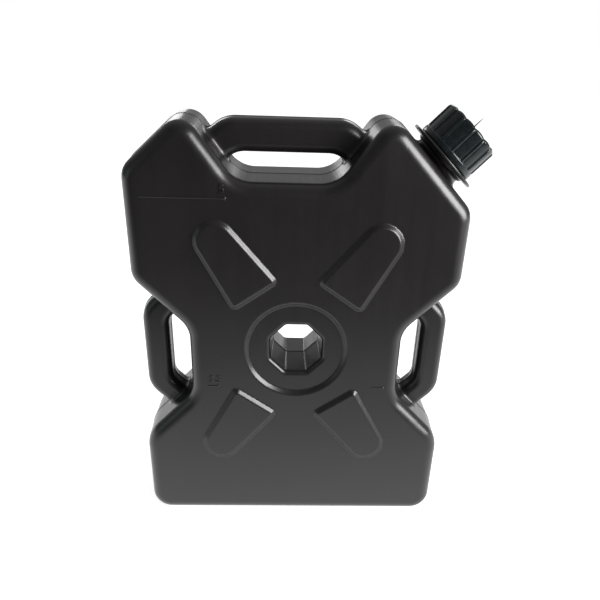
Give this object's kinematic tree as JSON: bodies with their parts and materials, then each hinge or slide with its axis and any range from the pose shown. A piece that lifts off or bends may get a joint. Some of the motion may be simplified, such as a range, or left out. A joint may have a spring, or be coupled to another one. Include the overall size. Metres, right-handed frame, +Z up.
{
  "type": "flat fuel can",
  "caption": "Flat blow moulded fuel can with loop handles at the top and both sides, raised pads, an eight-sided hole through the middle and a screw cap on a slanted neck.",
  "frame": {"origin": "middle of the flat base, on the parting plane between the two mould halves", "axes": "+Z up, +X to the side with the neck, -Y out of the front face"},
  "size_m": [0.2887, 0.083, 0.3738],
  "materials": {
    "can_body": "satin blow moulded polyethylene",
    "screw_cap": "moulded polypropylene",
    "cap_seal": "foamed seal disc"
  },
  "bodies": {
    "can": {"can_body": "can_body"},
    "seal": {"cap_seal": "cap_seal"},
    "cap": {"screw_cap": "screw_cap"}
  },
  "joints": [
    {"name": "cap_lift", "type": "slide", "parent": "can", "child": "seal", "axis": [0.6947, 0, 0.7193], "range_m": [0, 0.008]},
    {"name": "cap_turn", "type": "hinge", "parent": "seal", "child": "cap", "pos_m": [0.10737, 0, 0.32863], "axis": [0.6947, 0, 0.7193], "range_deg": [0, 720]}
  ],
  "couplings": [
    {"joint": "cap_lift", "follows": "cap_turn", "m_per_rad": 0.000636}
  ]
}
